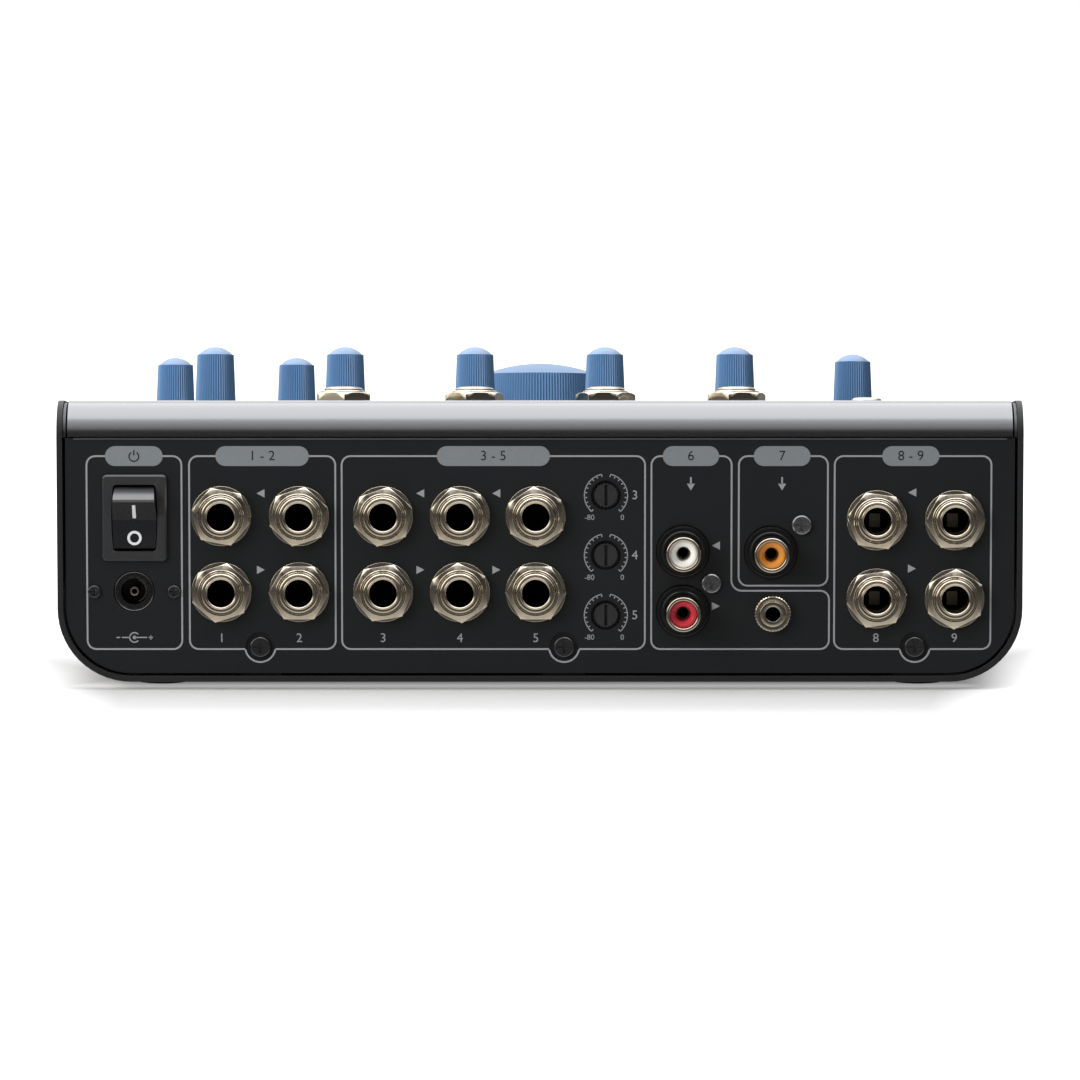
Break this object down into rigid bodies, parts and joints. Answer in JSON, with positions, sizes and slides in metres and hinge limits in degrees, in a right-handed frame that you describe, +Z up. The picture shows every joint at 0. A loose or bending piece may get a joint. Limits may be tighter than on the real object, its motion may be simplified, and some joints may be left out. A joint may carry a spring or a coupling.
{
  "type": "studio monitor controller",
  "caption": "Wedge-shaped desktop monitor controller with ribbed knobs and headphone sockets on top and a rear panel of phone, RCA and power sockets.",
  "frame": {"origin": "on the desk, under the middle of the box with its sockets", "axes": "+Z up, +Y towards the rear panel, +X to the user's right"},
  "size_m": [0.23, 0.1674, 0.0781],
  "materials": {
    "case_black": "satin powder-coated steel sheet",
    "panel_black": "fine satin black",
    "bracket_steel": "plain sheet edge",
    "nickel": "nickel plated, turned",
    "black_screw": "blackened steel",
    "black_plastic": "moulded, fine texture",
    "gloss_black": "moulded, glossy",
    "knob_blue": "moulded with fine grip ribs",
    "shaft_metal": "turned",
    "white_plastic": "moulded",
    "red_plastic": "moulded",
    "orange_plastic": "moulded",
    "button_grey": "moulded",
    "meter_lens": "smoked window",
    "board_green": "solder mask",
    "foot_rubber": "matt",
    "ribbon_grey": "flat cable"
  },
  "bodies": {
    "case": {"bottom_shell": "case_black", "top_cover": "case_black", "rear_panel": "panel_black", "side_brackets": "bracket_steel", "rubber_feet": "foot_rubber", "panel_screws": "black_screw", "base_screws": "black_screw", "dc_inlet_screws": "black_screw", "rca_screws": "black_screw", "rear_jack_bodies": "black_plastic", "phones_jack_bodies": "black_plastic", "rear_jack_bushings": "nickel", "phones_jack_bushings": "nickel", "jack_nuts": "nickel", "jack_washers": "nickel", "aux_rca_housing": "black_plastic", "digital_rca_housing": "black_plastic", "rca_sleeves": "nickel", "white_insulator": "white_plastic", "red_insulator": "red_plastic", "orange_insulator": "orange_plastic", "mini_jack_body": "black_plastic", "mini_jack_bushing": "nickel", "mini_jack_nut": "nickel", "dc_inlet_body": "black_plastic", "dc_inlet_pin": "nickel", "power_switch_frame": "gloss_black", "potentiometer_bodies": "black_plastic", "key_switches": "black_plastic", "meter_window": "meter_lens", "mic_grille": "nickel", "control_board": "board_green", "board_standoffs": "shaft_metal", "rear_board": "board_green", "ribbon_cable": "ribbon_grey"},
    "main_knob": {"main_knob": "knob_blue", "main_shaft": "shaft_metal"},
    "power_rocker": {"power_rocker": "gloss_black"},
    "phones_knob_1": {"phones_knob_1": "knob_blue"},
    "phones_knob_2": {"phones_knob_2": "knob_blue"},
    "phones_knob_3": {"phones_knob_3": "knob_blue"},
    "phones_knob_4": {"phones_knob_4": "knob_blue"},
    "cue_knob": {"cue_knob": "knob_blue"},
    "talkback_knob": {"talkback_knob": "knob_blue"},
    "input_knob_1": {"input_knob_1": "knob_blue"},
    "input_knob_2": {"input_knob_2": "knob_blue"},
    "talkback_button": {"talkback_button": "button_grey"},
    "source_button_1": {"source_button_1": "button_grey"},
    "source_button_2": {"source_button_2": "button_grey"},
    "source_button_3": {"source_button_3": "button_grey"},
    "speaker_button_1": {"speaker_button_1": "button_grey"},
    "speaker_button_2": {"speaker_button_2": "button_grey"},
    "speaker_button_3": {"speaker_button_3": "button_grey"},
    "mono_button": {"mono_button": "button_grey"},
    "dim_button": {"dim_button": "button_grey"},
    "mute_button": {"mute_button": "button_grey"},
    "speaker_trim_1": {"speaker_trim_1": "black_plastic"},
    "speaker_trim_2": {"speaker_trim_2": "black_plastic"},
    "speaker_trim_3": {"speaker_trim_3": "black_plastic"}
  },
  "joints": [
    {"name": "main_knob_turn", "type": "hinge", "parent": "case", "child": "main_knob", "pos_m": [0, -0.03807, 0.05758], "axis": [0, 0.1045, -0.9945], "range_deg": [0, 300]},
    {"name": "phones_knob_1_turn", "type": "hinge", "parent": "case", "child": "phones_knob_1", "pos_m": [-0.04801, 0.01912, 0.06359], "axis": [0, 0.1045, -0.9945], "range_deg": [0, 300]},
    {"name": "phones_knob_2_turn", "type": "hinge", "parent": "case", "child": "phones_knob_2", "pos_m": [-0.016, 0.01912, 0.06359], "axis": [0, 0.1045, -0.9945], "range_deg": [0, 300]},
    {"name": "phones_knob_3_turn", "type": "hinge", "parent": "case", "child": "phones_knob_3", "pos_m": [0.016, 0.01912, 0.06359], "axis": [0, 0.1045, -0.9945], "range_deg": [0, 300]},
    {"name": "phones_knob_4_turn", "type": "hinge", "parent": "case", "child": "phones_knob_4", "pos_m": [0.04801, 0.01912, 0.06359], "axis": [0, 0.1045, -0.9945], "range_deg": [0, 300]},
    {"name": "cue_knob_turn", "type": "hinge", "parent": "case", "child": "cue_knob", "pos_m": [0.08001, 0.01912, 0.06359], "axis": [0, 0.1045, -0.9945], "range_deg": [0, 300]},
    {"name": "talkback_knob_turn", "type": "hinge", "parent": "case", "child": "talkback_knob", "pos_m": [-0.0795, -0.02912, 0.05852], "axis": [0, 0.1045, -0.9945], "range_deg": [0, 300]},
    {"name": "input_knob_1_turn", "type": "hinge", "parent": "case", "child": "input_knob_1", "pos_m": [0.06279, -0.05348, 0.05596], "axis": [0, 0.1045, -0.9945], "range_deg": [0, 300]},
    {"name": "input_knob_2_turn", "type": "hinge", "parent": "case", "child": "input_knob_2", "pos_m": [0.09407, -0.05348, 0.05596], "axis": [0, 0.1045, -0.9945], "range_deg": [0, 300]},
    {"name": "speaker_trim_1_turn", "type": "hinge", "parent": "case", "child": "speaker_trim_1", "pos_m": [-0.0157, 0.0757, 0.0466], "axis": [0, -1, 0], "range_deg": [-138, 138]},
    {"name": "speaker_trim_2_turn", "type": "hinge", "parent": "case", "child": "speaker_trim_2", "pos_m": [-0.0157, 0.0757, 0.03225], "axis": [0, -1, 0], "range_deg": [-138, 138]},
    {"name": "speaker_trim_3_turn", "type": "hinge", "parent": "case", "child": "speaker_trim_3", "pos_m": [-0.0157, 0.0757, 0.0179], "axis": [0, -1, 0], "range_deg": [-138, 138]},
    {"name": "power_rocker_tilt", "type": "hinge", "parent": "case", "child": "power_rocker", "pos_m": [0.09649, 0.0749, 0.0413], "axis": [1, 0, 0], "range_deg": [0, 34]},
    {"name": "talkback_button_press", "type": "slide", "parent": "case", "child": "talkback_button", "axis": [0, 0.1045, -0.9945], "range_m": [0, 0.0008], "stiffness_N_per_m": 400, "springref_m": -0.0006},
    {"name": "source_button_1_press", "type": "slide", "parent": "case", "child": "source_button_1", "axis": [0, 0.1045, -0.9945], "range_m": [0, 0.0008], "stiffness_N_per_m": 400, "springref_m": -0.0006},
    {"name": "source_button_2_press", "type": "slide", "parent": "case", "child": "source_button_2", "axis": [0, 0.1045, -0.9945], "range_m": [0, 0.0008], "stiffness_N_per_m": 400, "springref_m": -0.0006},
    {"name": "source_button_3_press", "type": "slide", "parent": "case", "child": "source_button_3", "axis": [0, 0.1045, -0.9945], "range_m": [0, 0.0008], "stiffness_N_per_m": 400, "springref_m": -0.0006},
    {"name": "speaker_button_1_press", "type": "slide", "parent": "case", "child": "speaker_button_1", "axis": [0, 0.1045, -0.9945], "range_m": [0, 0.0008], "stiffness_N_per_m": 400, "springref_m": -0.0006},
    {"name": "speaker_button_2_press", "type": "slide", "parent": "case", "child": "speaker_button_2", "axis": [0, 0.1045, -0.9945], "range_m": [0, 0.0008], "stiffness_N_per_m": 400, "springref_m": -0.0006},
    {"name": "speaker_button_3_press", "type": "slide", "parent": "case", "child": "speaker_button_3", "axis": [0, 0.1045, -0.9945], "range_m": [0, 0.0008], "stiffness_N_per_m": 400, "springref_m": -0.0006},
    {"name": "mono_button_press", "type": "slide", "parent": "case", "child": "mono_button", "axis": [0, 0.1045, -0.9945], "range_m": [0, 0.0008], "stiffness_N_per_m": 400, "springref_m": -0.0006},
    {"name": "dim_button_press", "type": "slide", "parent": "case", "child": "dim_button", "axis": [0, 0.1045, -0.9945], "range_m": [0, 0.0008], "stiffness_N_per_m": 400, "springref_m": -0.0006},
    {"name": "mute_button_press", "type": "slide", "parent": "case", "child": "mute_button", "axis": [0, 0.1045, -0.9945], "range_m": [0, 0.0008], "stiffness_N_per_m": 400, "springref_m": -0.0006}
  ]
}
